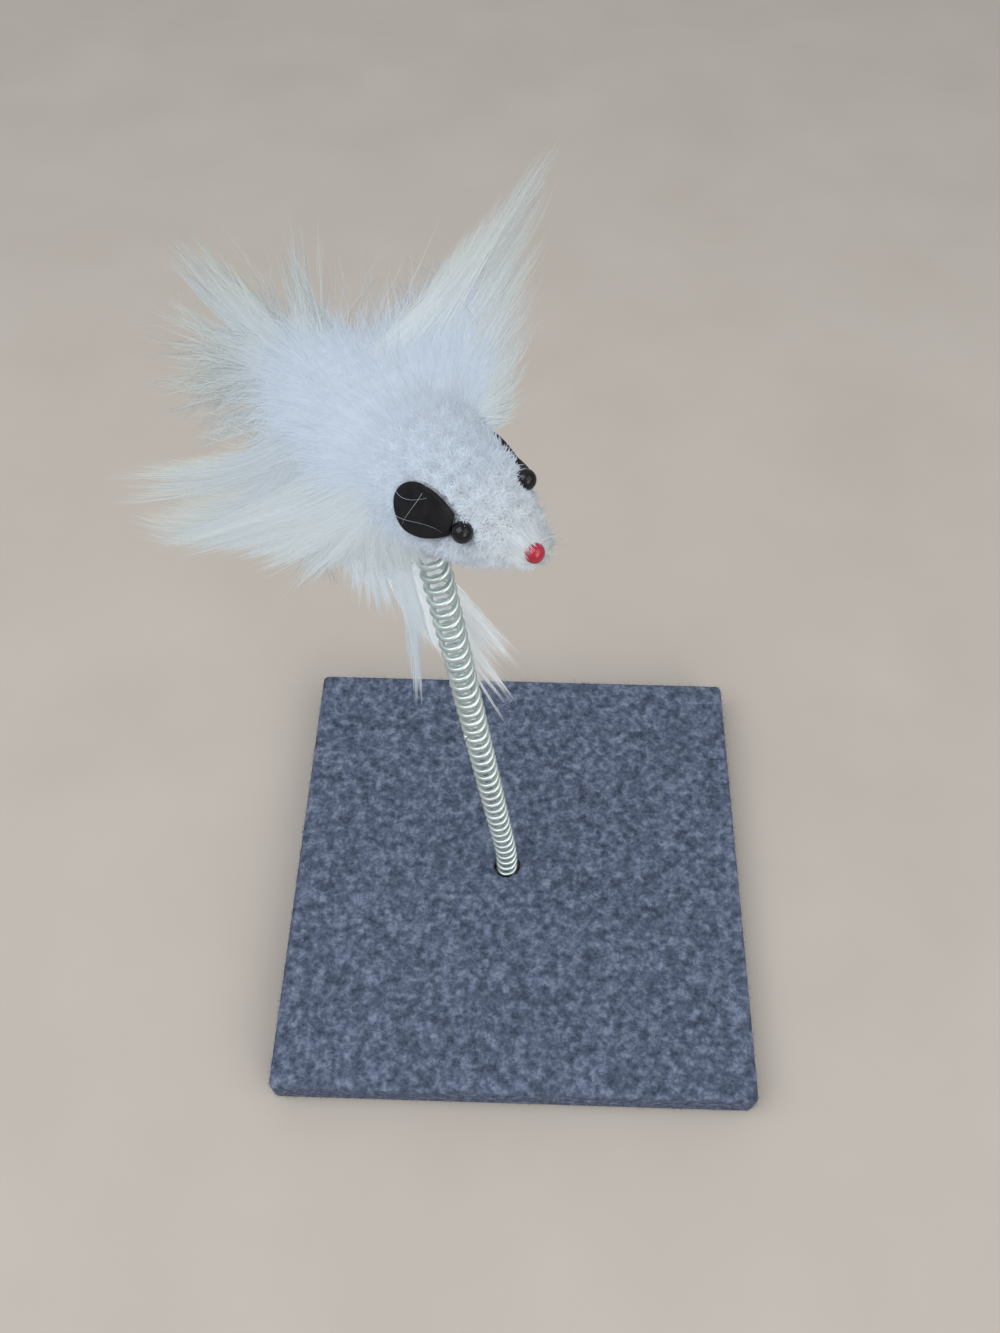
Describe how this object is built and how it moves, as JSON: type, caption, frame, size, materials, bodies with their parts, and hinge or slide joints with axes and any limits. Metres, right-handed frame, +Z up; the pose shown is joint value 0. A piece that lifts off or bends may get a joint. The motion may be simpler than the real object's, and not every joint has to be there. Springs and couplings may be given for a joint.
{
  "type": "spring mouse cat teaser",
  "caption": "Long-haired white toy mouse with black ears and beads on a coil spring that stands on a carpet-covered square base.",
  "frame": {"origin": "middle of the base's underside, on the surface that the toy stands on", "axes": "+Z up, +X to the right and +Y away from the picture's camera, along the sides of the square base"},
  "size_m": [0.1255, 0.12, 0.1985],
  "materials": {
    "backing_sheet": "matt non-woven sheet",
    "fibreboard": "raw fibreboard",
    "needle_felt": "heathered blue-grey needle-felt carpet",
    "fastener_steel": "zinc plated",
    "zinc_spring_wire": "bright zinc plated wire",
    "core_plastic": "moulded, unpainted",
    "peg_wood": "bare dowel",
    "white_pile": "short clipped pile over a grey backing",
    "white_fur": "long fur with creamy tips",
    "ear_leatherette": "matt black leatherette",
    "eye_bead": "glossy black bead",
    "nose_bead": "glossy red bead"
  },
  "bodies": {
    "base": {"bottom_sheet": "backing_sheet", "base_board": "fibreboard", "carpet_cover": "needle_felt", "staple_1": "fastener_steel", "staple_2": "fastener_steel", "staple_3": "fastener_steel", "staple_4": "fastener_steel", "staple_5": "fastener_steel", "staple_6": "fastener_steel", "staple_7": "fastener_steel", "staple_8": "fastener_steel", "anchor_screw": "fastener_steel", "anchor_washer": "fastener_steel"},
    "spring": {"spring": "zinc_spring_wire"},
    "mouse": {"mouse_core": "core_plastic", "spring_peg": "peg_wood", "head_cover": "white_pile", "fur_coat": "white_fur", "lock_left": "white_fur", "lock_right": "white_fur", "lock_rear": "white_fur", "lock_back": "white_fur", "lock_belly_front": "white_fur", "lock_belly_rear": "white_fur", "eye_left": "eye_bead", "eye_right": "eye_bead", "nose": "nose_bead"},
    "left_ear": {"ear_left": "ear_leatherette"},
    "right_ear": {"ear_right": "ear_leatherette"}
  },
  "joints": [
    {"name": "spring_sway_side", "type": "hinge", "parent": "base", "child": "spring", "pos_m": [-0.00614, -0.00078, 0.04804], "axis": [0, 0.9997, 0.0262], "range_deg": [-45, 45], "stiffness_Nm_per_rad": 0.05, "springref_deg": 2.01, "deforming": ["spring"]},
    {"name": "spring_sway_front", "type": "hinge", "parent": "spring", "child": "mouse", "pos_m": [-0.014, -0.00274, 0.1226], "axis": [0.9945, 0, 0.1048], "range_deg": [-45, 45], "stiffness_Nm_per_rad": 0.05, "springref_deg": 0.23, "deforming": ["spring"]},
    {"name": "ear_left_flap", "type": "hinge", "parent": "mouse", "child": "left_ear", "pos_m": [-0.00101, -0.01184, 0.17815], "axis": [0.4485, 0.1808, -0.8753], "range_deg": [0, 40], "stiffness_Nm_per_rad": 0.0001},
    {"name": "ear_right_flap", "type": "hinge", "parent": "mouse", "child": "right_ear", "pos_m": [-0.01172, -0.02227, 0.1786], "axis": [0.2355, 0.4892, 0.8398], "range_deg": [0, 40], "stiffness_Nm_per_rad": 0.0001}
  ]
}
